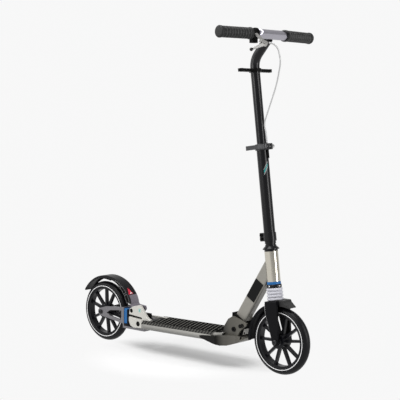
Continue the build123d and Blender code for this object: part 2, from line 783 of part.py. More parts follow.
with BuildPart() as clamp_bolts:
    with BuildSketch(steer_side(11.5)):
        with Locations((-25.5, S_CLAMP + 7), (-25.5, S_CLAMP + 18)):
            Circle(2.5)
    extrude(amount=20)
    with BuildSketch(steer_side(-8.5)):
        with Locations((-25.5, S_CLAMP + 7), (-25.5, S_CLAMP + 18)):
            Circle(4)
            RegularPolygon(1.8, 6, mode=Mode.SUBTRACT)
    extrude(amount=3.5)
save(clamp_bolts.part, "stem_clamp_bolts")

QR_BOLT_A = 27.5
SLEEVE_A = 20.5
with BuildPart() as qr_collar:
    with BuildSketch(steer_plane(S_QR)):
        Circle(20.5)
        with Locations((24, 0)):
            Rectangle(17, 19)
        Circle(LOWER_TUBE_R, mode=Mode.SUBTRACT)
        with Locations((26, 0)):
            Rectangle(22, 7.4, mode=Mode.SUBTRACT)
    extrude(amount=S_LOWER_TOP - S_QR)
    with BuildSketch(steer_side()):
        with Locations((QR_BOLT_A, (S_QR + S_LOWER_TOP) / 2)):
            Circle(3)
    extrude(amount=20, both=True, mode=Mode.SUBTRACT)
save(qr_collar.part, "qr_collar")

with BuildPart() as qr_bolt:
    with BuildSketch(steer_side(20)):
        with Locations((QR_BOLT_A, (S_QR + S_LOWER_TOP) / 2)):
            Circle(3)
    extrude(amount=33.5)
    with BuildSketch(steer_side(17.5)):
        with Locations((QR_BOLT_A, (S_QR + S_LOWER_TOP) / 2)):
            Circle(6)
            Circle(3, mode=Mode.SUBTRACT)
    extrude(amount=8)
save(qr_bolt.part, "qr_bolt")

QR_LEVER_Y = -21.5
with BuildPart() as qr_lever:
    with BuildSketch(steer_plane(S_QR + 3)):
        with Locations((QR_BOLT_A, QR_LEVER_Y)):
            Circle(7)
        with BuildLine():
            Polyline((25, -28), (8, -29.5), (-16, -28.5), (-42, -24), (-42.5, -19.5), (-17, -23), (8, -24),
                     (22, -20), close=True)
        make_face()
    extrude(amount=13)
    with BuildSketch(steer_side()):
        with Locations((QR_BOLT_A, (S_QR + S_LOWER_TOP) / 2)):
            SlotOverall(15, 7)
    extrude(amount=17, mode=Mode.SUBTRACT)
save(qr_lever.part, "qr_lever")

with BuildPart() as cable_sleeve:
    with BuildSketch(steer_plane(537).shift_origin(steer_point(SLEEVE_A, 537))):
        Circle(3.4)
    extrude(amount=39)
    with BuildSketch(steer_plane(549).shift_origin(steer_point(SLEEVE_A, 549))):
        Circle(CABLE_D / 2)
    extrude(amount=30, mode=Mode.SUBTRACT)
save(cable_sleeve.part, "cable_sleeve")


# ---------------------------------------------------------------- fork and front suspension

with BuildPart() as fork:
    with BuildSketch(steer_side()):
        with BuildLine():
            Polyline((-17, S_CROWN), (28, S_CROWN), (21.8, 3), (-1.6, 3), (-18, 90), close=True)
        make_face()
        with Locations((AXLE_OFFSET * cos(tilt), -AXLE_OFFSET * sin(tilt))):
            Circle(12)
            Circle(AXLE_R, mode=Mode.SUBTRACT)
    extrude(amount=FORK_OUTER, both=True)
    with BuildSketch(steer_plane(-20)):
        Rectangle(90, 2 * FORK_INNER)
    extrude(amount=125, mode=Mode.SUBTRACT)
    fillet(fork.edges().filter_by(lambda e: e.center().Z > 195 and abs(e.center().Y) > 32), 3)
    with BuildSketch(steer_plane(S_CROWN)):
        Circle(SLIDER_R)
    extrude(amount=82)
save(fork.part, "fork")

BELLOWS_END = S_COLLAR - 0.2
PLEATS = 4
pleat = (BELLOWS_END - S_CROWN) / PLEATS


def bellows_line(inset):
    """One side of the bellows' wall in the (a, s) plane, a ridge to each pleat."""
    points = [(BELLOWS_R - 4 - inset, S_CROWN)]
    for count in range(PLEATS):
        points.append((BELLOWS_R - inset, S_CROWN + (count + 0.5) * pleat))
        points.append((BELLOWS_R - 4 - inset, S_CROWN + (count + 1) * pleat))
    return points


with BuildPart() as bellows:
    with BuildSketch(steer_side()):
        with BuildLine():
            Polyline(*bellows_line(0), *reversed(bellows_line(2)), close=True)
        make_face()
    revolve(axis=Axis(steer_point(0, 0), steer_plane(0).z_dir))
save(bellows.part, "bellows")

SPRING_R = 8.6
SPRING_WIRE_R = 1.6
SPRING_PITCH = 7.0
with BuildPart() as spring:
    with BuildLine() as coil:
        Helix(SPRING_PITCH, 58, SPRING_R)
    with BuildSketch(Plane(origin=coil.line @ 0, z_dir=coil.line % 0)):
        Circle(SPRING_WIRE_R)
    sweep(is_frenet=True)
save(spring.part.moved(steer_plane(203.5).location), "suspension_spring")

with BuildPart() as mudguard_lip:
    with BuildSketch(side_plane()):
        with BuildLine():
            Polyline((358, 216), (360, 222.5), (390, 222.5), (394, 216), (414, 203), (411, 201), (394, 205),
                     (372, 205), close=True)
        make_face()
    extrude(amount=21, both=True)
    with BuildSketch(Plane.XY.offset(190)):
        with BuildLine():
            Polyline((350, -21), (392, -21), (416, -15), (416, 15), (392, 21), (350, 21), close=True)
        make_face()
    extrude(amount=50, mode=Mode.INTERSECT)
    with BuildSketch(steer_plane(S_CROWN - 20)):
        with Locations((4, 0)):
            Rectangle(48, 80)
    extrude(amount=20, mode=Mode.SUBTRACT)
    with BuildSketch(steer_plane(S_CROWN - 20)):
        Circle(BELLOWS_R + GAP)
    extrude(amount=60, mode=Mode.SUBTRACT)
save(mudguard_lip.part, "mudguard_lip")

GUARD_END = 185.0
with BuildPart() as rear_guard:
    with BuildSketch(Plane(origin=(FRONT_X, 0, AXLE_Z), x_dir=(0, 1, 0), z_dir=(1, 0, 0))):
        with Locations((0, 108)):
            Rectangle(40, 9)
        with Locations((0, 106)):
            Rectangle(35, 9, mode=Mode.SUBTRACT)
    revolve(axis=Axis((FRONT_X, 0, AXLE_Z), (0, -1, 0)), revolution_arc=GUARD_END - 90)
    with BuildSketch(steer_side()):
        with Locations((28.1, 100)):
            Rectangle(92.6, 80)
    extrude(amount=40, both=True, mode=Mode.SUBTRACT)
save(rear_guard.part, "rear_guard")


# ---------------------------------------------------------------- upper stem and handlebar

lean = radians(STEM_LEAN)
corner_z = (BAR_Z * tan(lean) - BAR_X + STEER_X + AXLE_Z * tan(tilt)) / (tan(lean) + tan(tilt))
corner_s = (corner_z - AXLE_Z) / cos(tilt)
lean_dir = (sin(lean), 0, cos(lean))


def lean_point(d):
    """A point on the leaning end of the stem, d along it from the handlebar's centre."""
    return (BAR_X + d * lean_dir[0], 0, BAR_Z + d * lean_dir[2])


with BuildPart() as upper_tube:
    with BuildLine() as stem_line:
        bend = (steer_point(0, S_UPPER_BOTTOM), steer_point(0, corner_s), lean_point(-13.5))
        FilletPolyline(*bend, radius=54)
    with BuildSketch(steer_plane(S_UPPER_BOTTOM)):
        Circle(UPPER_TUBE_R)
        Circle(UPPER_TUBE_R - 2, mode=Mode.SUBTRACT)
    sweep(path=stem_line.line)
save(upper_tube.part, "upper_tube")

T_HALF = 62.0
across = (cos(lean), 0, -sin(lean))
with BuildPart() as handlebar:
    with BuildSketch(Plane(origin=(BAR_X, -T_HALF, BAR_Z), x_dir=across, z_dir=(0, 1, 0))):
        RectangleRounded(25, 27, 10)
    extrude(amount=2 * T_HALF)
    with BuildSketch(Plane(origin=(BAR_X, 0, BAR_Z), x_dir=(0, 1, 0), z_dir=across)):
        with BuildLine():
            Polyline((-T_HALF, -14), (-T_HALF, 4), (-48, 14), (48, 14), (T_HALF, 4), (T_HALF, -14),
                     close=True)
        make_face()
    extrude(amount=30, both=True, mode=Mode.INTERSECT)
    for side in (-1, 1):
        with BuildSketch(bar_plane(BAR_STRAIGHT, side)):
            Circle(BAR_R)
        extrude(amount=GRIP_END - BAR_STRAIGHT - 2)
save(handlebar.part, "handlebar")


def grip(side, start):
    """A ribbed rubber grip with a flange at its inner end and a domed cap outside."""
    with BuildPart() as part:
        with BuildSketch(bar_plane(start, side)):
            Circle(GRIP_R)
            Circle(BAR_R, mode=Mode.SUBTRACT)
        extrude(amount=GRIP_END - start)
        with BuildSketch(bar_plane(start, side)):
            Circle(17.5)
            Circle(BAR_R, mode=Mode.SUBTRACT)
        extrude(amount=5)
        with BuildSketch(bar_plane(GRIP_END - 2, side)):
            Circle(17.5)
        extrude(amount=8)
        chamfer(part.faces().filter_by(GeomType.PLANE).sort_by(Axis.Y)[0 if side < 0 else -1].edges(), 3)
        rows = int((GRIP_END - start - 20) / 7)
        for row in range(rows):
            with BuildSketch(bar_plane(start + 10 + 7 * row, side)):
                Circle(GRIP_R)
                Circle(GRIP_R - 1, mode=Mode.SUBTRACT)
            extrude(amount=3, mode=Mode.SUBTRACT)
    return part.part


save(grip(-1, 88), "grip_right")
save(grip(1, 68), "grip_left")

with BuildPart() as grip_holder:
    with BuildSketch(steer_plane(S_HOLDER - 4.5)):
        Circle(18.5)
        RectangleRounded(11, 136, 4)
        for side in (-1, 1):
            with Locations((0, side * 66)):
                Circle(8)
                Circle(4, mode=Mode.SUBTRACT)
            with Locations((-7, side * 66)):
                Rectangle(14, 6, mode=Mode.SUBTRACT)
        Circle(UPPER_TUBE_R, mode=Mode.SUBTRACT)
    extrude(amount=9)
save(grip_holder.part, "grip_holder")


# ---------------------------------------------------------------- hand brake

PERCH_START = 66.0
PERCH_END = 85.0
LEVER_PIVOT = (364.0, -72.0, 964.0)
lever_plane = Plane(origin=LEVER_PIVOT, x_dir=(-0.031, -0.954, -0.297), z_dir=(0.692, -0.235, 0.682))
cable_dir = Vector(9, 16, -3.5).normalized()
cable_start = Vector(360, -53, 967.5)

with BuildPart() as brake_perch:
    with BuildSketch(bar_plane(PERCH_START, -1)):
        Circle(17)
        Circle(BAR_R, mode=Mode.SUBTRACT)
    extrude(amount=6)
    with BuildSketch(bar_plane(PERCH_START, -1)):
        Circle(15)
        with Locations((-19, 0)):
            Rectangle(16, 15)
        Circle(BAR_R, mode=Mode.SUBTRACT)
    extrude(amount=PERCH_END - PERCH_START)
save(brake_perch.part, "brake_perch")

with BuildPart() as brake_bracket:
    with BuildSketch(lever_plane.offset(1.8)):
        with Locations((2, -26)):
            Rectangle(10, 52)
        Circle(7)
    extrude(amount=3.5)
    with BuildSketch(lever_plane.offset(-5.3)):
        with Locations((2, -8)):
            Rectangle(10, 16)
        Circle(7)
    extrude(amount=3)
    with BuildSketch(lever_plane.offset(-5.3)):
        with Locations((2, -14)):
            Rectangle(10, 7)
    extrude(amount=8)
    with BuildSketch(lever_plane.offset(-5.3)):
        Circle(3)
    extrude(amount=8)
    with BuildSketch(Plane(origin=cable_start - cable_dir * 20, z_dir=cable_dir)):
        Circle(4.2)
    extrude(amount=9)
    with BuildSketch(bar_plane(PERCH_START - 4, -1)):
        Circle(15)
    extrude(amount=30, mode=Mode.SUBTRACT)
save(brake_bracket.part, "brake_bracket")

with BuildPart() as brake_lever:
    with BuildSketch(lever_plane.offset(-2)):
        with BuildLine():
            Polyline((0, -6), (24, -4), (58, -2.6), (58, 2.6), (24, 4), (0, 6), close=True)
        make_face()
        Circle(6.5)
        Circle(3 + FIT, mode=Mode.SUBTRACT)
    extrude(amount=3.5)
    with Locations(lever_plane.location * Location((62, 0, -0.25))):
        Sphere(5)
save(brake_lever.part, "brake_lever")

with BuildPart() as cable_adjuster:
    with BuildSketch(Plane(origin=cable_start - cable_dir * 11, z_dir=cable_dir)):
        Circle(3.8)
    extrude(amount=7)
    with BuildSketch(Plane(origin=cable_start - cable_dir * 4, z_dir=cable_dir)):
        Circle(3)
    extrude(amount=4)
save(cable_adjuster.part, "cable_adjuster")

route = [
    cable_start,
    Vector(369, -37, 964),
    Vector(376, -27, 950),
    Vector(376, -15, 915),
    Vector(352, -3, 850),
    Vector(303.5, 0, 738),
    Vector(*steer_point(SLEEVE_A, 610)),
    Vector(*steer_point(SLEEVE_A, 549)),
]


def bend_radii(points):
    """For each inner point, the largest arc that uses 0.45 of the shorter run beside it."""
    radii = []
    for before, at, after in zip(points, points[1:], points[2:]):
        into, out = at - before, after - at
        half_turn = radians(into.get_angle(out)) / 2
        radii.append(0.45 * min(into.length, out.length) / tan(half_turn))
    return radii


cable_radii = bend_radii(route)
with BuildPart() as brake_cable:
    with BuildLine() as cable_line:
        FilletPolyline(*route, radius=cable_radii)
    with BuildSketch(Plane(origin=route[0], z_dir=cable_dir)):
        Circle(CABLE_D / 2)
    sweep(path=cable_line.line)
save(brake_cable.part, "brake_cable")
print("cable bend radii", [round(r, 1) for r in cable_radii])
cable_length = sum(edge.length for edge in cable_line.edges())
print("cable length", round(cable_length, 1))
print("cable volume ratio", round(brake_cable.part.volume / (cable_length * pi * CABLE_D**2 / 4), 4))
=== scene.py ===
import math

import bpy
import numpy as np
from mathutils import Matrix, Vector


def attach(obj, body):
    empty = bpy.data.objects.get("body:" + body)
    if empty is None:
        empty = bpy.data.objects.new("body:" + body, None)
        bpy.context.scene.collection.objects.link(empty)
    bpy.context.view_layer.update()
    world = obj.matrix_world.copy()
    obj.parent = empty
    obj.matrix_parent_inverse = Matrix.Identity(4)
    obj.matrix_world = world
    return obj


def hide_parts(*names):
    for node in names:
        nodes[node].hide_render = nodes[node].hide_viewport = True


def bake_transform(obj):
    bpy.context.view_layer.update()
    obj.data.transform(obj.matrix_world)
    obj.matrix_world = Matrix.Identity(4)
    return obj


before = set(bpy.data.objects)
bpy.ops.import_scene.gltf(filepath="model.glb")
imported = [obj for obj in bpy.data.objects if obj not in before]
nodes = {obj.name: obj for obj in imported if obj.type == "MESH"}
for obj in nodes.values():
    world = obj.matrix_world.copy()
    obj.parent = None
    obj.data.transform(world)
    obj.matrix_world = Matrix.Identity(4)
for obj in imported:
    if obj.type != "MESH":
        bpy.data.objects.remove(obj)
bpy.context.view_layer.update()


TILT = math.radians(6.85)
AXLE = 0.100
STEER_X = 0.3638
FRONT_X = 0.374
REAR_X = -0.374
UP = Vector((-math.sin(TILT), 0, math.cos(TILT)))  # along the steering axis
AHEAD = Vector((math.cos(TILT), 0, math.sin(TILT)))


def steer(a, s, y=0.0):
    """A point a ahead of the steering axis and s along it, in metres."""
    return Vector((STEER_X, y, AXLE)) + AHEAD * a + UP * s


# ------------------------------------------------------------------ materials

def node(tree, kind, **inputs):
    n = tree.nodes.new(kind)
    for key, value in inputs.items():
        n.inputs[key.replace("_", " ")].default_value = value
    return n


def surface(name, base, roughness, metallic=0.0, grain=0.06, grain_scale=60.0, bump=0.0, bump_scale=300.0,
            specular=0.5, coat=0.0, stretch=(1, 1, 1), bevel=0.0006):
    """A painted, moulded or metal surface: slight mottling, uneven gloss, fine grain and softened edges."""
    m = bpy.data.materials.new(name)
    m.use_nodes = True
    t = m.node_tree
    shader = t.nodes["Principled BSDF"]
    shader.inputs["Metallic"].default_value = metallic
    shader.inputs["Specular IOR Level"].default_value = specular
    shader.inputs["Coat Weight"].default_value = coat
    shader.inputs["Coat Roughness"].default_value = 0.12
    where = t.nodes.new("ShaderNodeTexCoord")
    mapping = t.nodes.new("ShaderNodeMapping")
    mapping.inputs["Scale"].default_value = stretch
    t.links.new(where.outputs["Object"], mapping.inputs["Vector"])
    mottle = node(t, "ShaderNodeTexNoise", Scale=grain_scale, Detail=4.0, Roughness=0.6)
    t.links.new(mapping.outputs["Vector"], mottle.inputs["Vector"])
    tint = t.nodes.new("ShaderNodeMix")
    tint.data_type = "RGBA"
    tint.inputs[6].default_value = (*[c * (1 - grain) for c in base], 1)
    tint.inputs[7].default_value = (*[min(1, c * (1 + grain)) for c in base], 1)
    t.links.new(mottle.outputs["Fac"], tint.inputs[0])
    t.links.new(tint.outputs[2], shader.inputs["Base Color"])
    gloss = t.nodes.new("ShaderNodeMapRange")
    gloss.inputs["To Min"].default_value = max(0.02, roughness - 0.05)
    gloss.inputs["To Max"].default_value = roughness + 0.05
    t.links.new(mottle.outputs["Fac"], gloss.inputs["Value"])
    t.links.new(gloss.outputs["Result"], shader.inputs["Roughness"])
    normal = None
    if bevel:
        normal = t.nodes.new("ShaderNodeBevel")
        normal.samples = 6
        normal.inputs["Radius"].default_value = bevel
    if bump:
        fine = node(t, "ShaderNodeTexNoise", Scale=bump_scale, Detail=3.0)
        t.links.new(mapping.outputs["Vector"], fine.inputs["Vector"])
        relief = t.nodes.new("ShaderNodeBump")
        relief.inputs["Strength"].default_value = bump
        relief.inputs["Distance"].default_value = 0.0004
        t.links.new(fine.outputs["Fac"], relief.inputs["Height"])
        if normal:
            t.links.new(normal.outputs["Normal"], relief.inputs["Normal"])
        normal = relief
    if normal:
        t.links.new(normal.outputs["Normal"], shader.inputs["Normal"])
    return m


def graded(m, axis, stops):
    """Tones a surface along one world axis: stops are (place in metres, factor on the base colour)."""
    t = m.node_tree
    shader = t.nodes["Principled BSDF"]
    source = shader.inputs["Base Color"].links[0].from_socket
    where = t.nodes.new("ShaderNodeTexCoord")
    split = t.nodes.new("ShaderNodeSeparateXYZ")
    t.links.new(where.outputs["Object"], split.inputs[0])
    low, high = stops[0][0], stops[-1][0]
    spread = t.nodes.new("ShaderNodeMapRange")
    spread.inputs["From Min"].default_value = low
    spread.inputs["From Max"].default_value = high
    t.links.new(split.outputs[axis], spread.inputs["Value"])
    ramp = t.nodes.new("ShaderNodeValToRGB")
    while len(ramp.color_ramp.elements) < len(stops):
        ramp.color_ramp.elements.new(0.5)
    for element, (at, tone) in zip(ramp.color_ramp.elements, stops):
        element.position = (at - low) / (high - low)
        element.color = (tone, tone, tone, 1)
    t.links.new(spread.outputs["Result"], ramp.inputs["Fac"])
    product = t.nodes.new("ShaderNodeMix")
    product.data_type = "RGBA"
    product.blend_type = "MULTIPLY"
    product.inputs[0].default_value = 1.0
    t.links.new(source, product.inputs[6])
    t.links.new(ramp.outputs["Color"], product.inputs[7])
    t.links.new(product.outputs[2], shader.inputs["Base Color"])
    return m


RUBBER = surface("tyre_rubber", (0.004, 0.004, 0.005), 0.40, bump=0.10, bump_scale=900, specular=0.16, bevel=0)
STRIPE = surface("sidewall_stripe", (0.80, 0.80, 0.80), 0.45, bevel=0)
RIM = surface("rim_black", (0.004, 0.004, 0.006), 0.32, specular=0.20, bump=0.05, bump_scale=1200, bevel=0.0010)
BEARING = surface("bearing_steel", (0.16, 0.16, 0.17), 0.35, metallic=0.9)
AXLE_DARK = surface("axle_dark", (0.03, 0.03, 0.032), 0.35, metallic=0.7)
BRIGHT = surface("zinc", (0.60, 0.60, 0.60), 0.25, metallic=0.95)
# the deck's tone ramp up its height is painted light: painted shade on the lower side and a painted highlight near the
# top edge
DECK = graded(surface("deck_lacquer", (0.30, 0.295, 0.275), 0.34, metallic=0.35, bump=0.05, stretch=(0.2, 1, 1)), 2,
              ((0.068, 0.45), (0.080, 0.62), (0.089, 1.0), (0.094, 1.35), (0.106, 1.2)))
# the cheek's ramp from near black at the rear to grey at the front is painted shade, standing in for the dark
# reflection in its concave flank
CHEEK = graded(surface("cheek_grey", (0.085, 0.080, 0.066), 0.36, metallic=0.15, bump=0.08, bump_scale=1400), 0,
               ((0.150, 0.12), (0.178, 0.22), (0.196, 0.75), (0.262, 1.15)))
# the shoe's ramp is painted light: painted shade, near black, on its rear facets that face down, and a painted
# highlight on its front
SHOE = graded(surface("shoe_grey", (0.105, 0.10, 0.088), 0.34, specular=0.12, bump=0.05, bump_scale=1400), 0,
              ((0.095, 0.02), (0.168, 0.05), (0.190, 0.75), (0.252, 1.5)))
TUBE = surface("tube_lacquer", (0.235, 0.225, 0.20), 0.34, metallic=0.25, bump=0.06, bump_scale=900)
PLATE = surface("tail_casting", (0.50, 0.49, 0.455), 0.42, metallic=0.2, bump=0.12, bump_scale=1400)
HEAD = surface("head_tube_polish", (0.56, 0.53, 0.46), 0.17, metallic=1.0, grain=0.03, stretch=(1, 1, 0.1))
BLACK = surface("satin_black", (0.003, 0.003, 0.004), 0.24, specular=0.26, bump=0.03, bump_scale=1500)
FORK = surface("fork_black", (0.003, 0.003, 0.004), 0.42, specular=0.08, bump=0.10, bump_scale=1500)
PLASTIC = surface("black_plastic", (0.003, 0.003, 0.003), 0.45, specular=0.06, bump=0.12, bump_scale=1500)
FENDER = surface("fender_plastic", (0.006, 0.006, 0.007), 0.36, specular=0.16, bump=0.08, bump_scale=1500)
FENDER_METAL = surface("fender_bracket_grey", (0.17, 0.155, 0.18), 0.40, metallic=0.3)
PANEL = surface("panel_black", (0.005, 0.005, 0.005), 0.35, specular=0.10)
BLUE = surface("blue_moulding", (0.006, 0.10, 0.29), 0.35, specular=0.3)
ARM = surface("swingarm_grey", (0.17, 0.165, 0.175), 0.32, metallic=0.55, bump=0.06, bump_scale=1200)
BRIGHT_SILVER = surface("brake_silver", (0.36, 0.355, 0.345), 0.28, metallic=0.75)
LEVER_SILVER = graded(surface("lever_silver", (0.36, 0.355, 0.345), 0.28, metallic=0.2), 1,
                      ((-0.140, 0.01), (-0.1265, 0.01), (-0.1240, 1.0), (-0.060, 1.0)))
GRIP = surface("grip_rubber", (0.010, 0.010, 0.010), 0.5, specular=0.25, bump=0.2, bump_scale=1500, bevel=0)
BELLOWS = surface("bellows_rubber", (0.46, 0.46, 0.50), 0.4, specular=0.4, bevel=0)
CABLE = surface("cable_sleeve_grey", (0.42, 0.42, 0.42), 0.35, metallic=0.3, bevel=0)
MAT = surface("mat_rubber", (0.006, 0.006, 0.006), 0.8, specular=0.0, bump=0.2, bump_scale=1200, bevel=0)
# a lighter copy of the black mat rubber: painted highlight on the mat's ridge tops
MAT_RIDGE_HIGHLIGHT = surface("mat_ridge", (0.13, 0.127, 0.115), 0.7, specular=0.1, bevel=0)
# a lighter copy of the black mat rubber: painted highlight on the edge band over the deck's bevel
MAT_EDGE_HIGHLIGHT = surface("mat_edge", (0.075, 0.073, 0.066), 0.7, specular=0.1, bevel=0)
MAT_NOTCH = surface("mat_notch", (0.006, 0.006, 0.006), 0.6, specular=0.2, bevel=0)
RED = surface("reflector_red", (0.50, 0.008, 0.035), 0.25, specular=0.6, grain=0.25, grain_scale=400)
WHITE = surface("reflector_white", (0.8, 0.8, 0.8), 0.3)
SCREW = surface("black_oxide", (0.004, 0.004, 0.004), 0.45, specular=0.08)
# a lighter copy of the black grip rubber: painted highlight on the rib crests
GRIP_CREST_HIGHLIGHT = surface("grip_crest", (0.11, 0.11, 0.11), 0.5, specular=0.3, bevel=0)
PURPLE = surface("bar_body_silver", (0.34, 0.33, 0.37), 0.30, metallic=0.8, stretch=(1, 0.15, 1))
LIP = surface("lip_grey", (0.022, 0.022, 0.022), 0.45, specular=0.2, bump=0.1, bump_scale=1500)
QR = surface("qr_dark", (0.05, 0.05, 0.052), 0.32, metallic=0.6)
TEAL = surface("teal_print", (0.01, 0.25, 0.24), 0.4, bevel=0)
TEAL_PALE = surface("teal_ground", (0.36, 0.50, 0.46), 0.4, bevel=0)
MARK = (-0.1725, 0.1300)
PALE = surface("pale_print", (0.30, 0.32, 0.32), 0.4, bevel=0)
# pale grey painted highlight, used for the fork blades' lit rear edges and the fender window rims
EDGE_HIGHLIGHT = surface("fork_edge_grey", (0.22, 0.22, 0.22), 0.35, bevel=0)

look = {
    "front_rim": RIM, "rear_rim": RIM, "front_bearings": BEARING, "rear_bearings": BEARING,
    "headset_bearings": BEARING, "front_axle": AXLE_DARK, "rear_axle": AXLE_DARK,
    "front_axle_spacers": AXLE_DARK, "rear_axle_spacers": AXLE_DARK, "deck_platform": DECK,
    "deck_tail_block": PLASTIC, "suspension_stop_block": PLASTIC, "rear_plate_left": PLATE,
    "rear_plate_right": PLATE, "rear_pivot_pins": SCREW, "front_bracket": CHEEK,
    "bracket_fasteners": SCREW, "fold_pivot_pin": SCREW, "nose_shoe": SHOE, "fold_latch": PLASTIC,
    "down_tube": TUBE, "down_tube_panels": PANEL, "fold_knuckle": PLASTIC, "head_tube": HEAD,
    "headset_ring": BLUE, "steerer_tube": BRIGHT, "lower_collar": BLACK, "headset_cap": BLACK,
    "headset_nut": BLACK, "stem_clamp": BLACK, "stem_clamp_bolts": SCREW, "lower_tube": BLACK,
    "qr_collar": QR, "qr_bolt": BRIGHT, "cable_sleeve": PLASTIC, "suspension_spring": BRIGHT,
    "fork": FORK, "mudguard_lip": LIP, "rear_guard": FORK, "swingarm": ARM,
    "suspension_elastomer": BLUE, "rear_fender": FENDER, "fender_bracket": FENDER_METAL,
    "brake_pad": PLASTIC, "fender_reflector": RED, "qr_lever": QR, "upper_tube": BLACK,
    "handlebar": PURPLE, "grip_holder": PLASTIC, "brake_perch": PLASTIC, "brake_bracket": BRIGHT_SILVER,
    "cable_adjuster": PLASTIC, "brake_lever": LEVER_SILVER, "front_tyre": RUBBER, "rear_tyre": RUBBER,
    "grip_right": GRIP, "grip_left": GRIP, "bellows": BELLOWS, "brake_cable": CABLE, "grip_mat": MAT,
}
for name, material in look.items():
    nodes[name].data.materials.clear()
    nodes[name].data.materials.append(material)


# ------------------------------------------------------------------ mesh builders

def mesh(name, points, faces, material, smooth=True):
    data = bpy.data.meshes.new(name)
    data.from_pydata([tuple(p) for p in points], [], faces)
    data.materials.append(material)
    if smooth:
        data.shade_smooth()
    data.update()
    obj = bpy.data.objects.new(name, data)
    bpy.context.scene.collection.objects.link(obj)
    return obj


def across(direction):
    """Two directions square to the one given."""
    d = Vector(direction).normalized()
    first = d.cross(Vector((0, 0, 1)) if abs(d.z) < 0.9 else Vector((1, 0, 0))).normalized()
    return first, d.cross(first)


def lathe(name, profile, origin, axis, material, segments=96, closed=False):
    """A profile of (radius, distance along the axis) turned round the axis; faces point out for a profile
    that climbs the axis."""
    d = Vector(axis).normalized()
    e1, e2 = across(d)
    o = Vector(origin)
    points = []
    for r, h in profile:
        for k in range(segments):
            angle = 2 * math.pi * k / segments
            points.append(o + d * h + e1 * (r * math.cos(angle)) + e2 * (r * math.sin(angle)))
    rows = len(profile)
    faces = []
    for i in range(rows if closed else rows - 1):
        j = (i + 1) % rows
        for k in range(segments):
            n = (k + 1) % segments
            faces.append((i * segments + k, i * segments + n, j * segments + n, j * segments + k))
    return mesh(name, points, faces, material)


def tube(name, path, radius, material, segments=20):
    """A round tube along a list of points, with closed ends."""
    path = [Vector(p) for p in path]
    side = None
    points, faces = [], []
    for i, p in enumerate(path):
        along = (path[min(i + 1, len(path) - 1)] - path[max(i - 1, 0)]).normalized()
        if side is None:
            side = across(along)[0]
        side = (side - along * side.dot(along)).normalized()
        other = along.cross(side)
        r = radius[i] if isinstance(radius, (list, tuple)) else radius
        for k in range(segments):
            angle = 2 * math.pi * k / segments
            points.append(p + side * (r * math.cos(angle)) + other * (r * math.sin(angle)))
    for i in range(len(path) - 1):
        for k in range(segments):
            n = (k + 1) % segments
            faces.append((i * segments + k, i * segments + n, (i + 1) * segments + n, (i + 1) * segments + k))
    faces.append(tuple(range(segments))[::-1])
    faces.append(tuple((len(path) - 1) * segments + k for k in range(segments)))
    return mesh(name, points, faces, material)


def rounded(points, radii, steps=10):
    """The points of a polyline whose corners are replaced by tangent arcs."""
    out = [Vector(points[0])]
    for i in range(1, len(points) - 1):
        a, b, c = Vector(points[i - 1]), Vector(points[i]), Vector(points[i + 1])
        u, v = (a - b).normalized(), (c - b).normalized()
        half = (math.pi - u.angle(v)) / 2
        reach = radii[i - 1] * math.tan(half)
        bisector = (u + v).normalized()
        centre = b + bisector * (radii[i - 1] / math.cos(half))
        start, end = b + u * reach - centre, b + v * reach - centre
        turn = start.angle(end)
        for k in range(steps + 1):
            f = k / steps
            w0 = math.sin((1 - f) * turn) / math.sin(turn)
            w1 = math.sin(f * turn) / math.sin(turn)
            out.append(centre + start * w0 + end * w1)
    out.append(Vector(points[-1]))
    return out


def prism(name, outline, origin, u, v, depth, material, smooth=False):
    """A flat outline in the (u, v) directions, given thickness along their normal."""
    u, v, o = Vector(u), Vector(v), Vector(origin)
    w = u.cross(v).normalized()
    n = len(outline)
    points = [o + u * a + v * b for a, b in outline] + [o + u * a + v * b + w * depth for a, b in outline]
    faces = [tuple(range(n))[::-1], tuple(range(n, 2 * n))]
    faces += [(k, (k + 1) % n, n + (k + 1) % n, n + k) for k in range(n)]
    return mesh(name, points, faces, material, smooth)


# ------------------------------------------------------------------ wheels

TYRE = [(0.0790, -0.0112), (0.0815, -0.0128), (0.0830, -0.0143), (0.0860, -0.01485), (0.0890, -0.0146),
        (0.0920, -0.0136), (0.0946, -0.0119), (0.0966, -0.0098), (0.0981, -0.0075), (0.0991, -0.0050),
        (0.0998, -0.0025), (0.1000, 0.0)]
TYRE += [(r, -h) for r, h in reversed(TYRE[:-1])]
for which, x, body in (("front", FRONT_X, "front_wheel"), ("rear", REAR_X, "rear_wheel")):
    tyre = lathe(f"{which}_tyre_tread", TYRE, (x, 0, AXLE), (0, 1, 0), RUBBER, segments=180)
    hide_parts(f"{which}_tyre")
    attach(tyre, body)
    for side in (-1, 1):
        ring = [(0.0838, side * 0.01455), (0.0838, side * 0.01505), (0.0855, side * 0.01520), (0.0858, side * 0.0147)]
        if side > 0:
            ring = ring[::-1]
        stripe = lathe(f"{which}_stripe_{'right' if side < 0 else 'left'}", ring, (x, 0, AXLE), (0, 1, 0), STRIPE,
                       segments=180)
        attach(stripe, body)

# ------------------------------------------------------------------ bellows

S0, S1, PLEATS = 0.118, 0.1561, 4
profile = []
for count in range(PLEATS):
    for k in range(12):
        f = k / 12
        swell = abs(math.sin(math.pi * f)) ** 0.6
        profile.append((0.0200 + 0.0045 * swell, S0 + (S1 - S0) * (count + f) / PLEATS))
profile.append((0.0200, S1))
folds = lathe("bellows_folds", profile, steer(0, 0), UP, BELLOWS, segments=96)
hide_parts("bellows")
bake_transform(folds)

# ------------------------------------------------------------------ grips

BAR = Vector((0.327, 0, 0.994))
SWEEP = math.radians(6.35)


def bar_point(along, side):
    swept = max(along - 0.050, 0.0)
    return BAR + Vector((-swept * math.sin(SWEEP), side * (min(along, 0.050) + swept * math.cos(SWEEP)), 0))


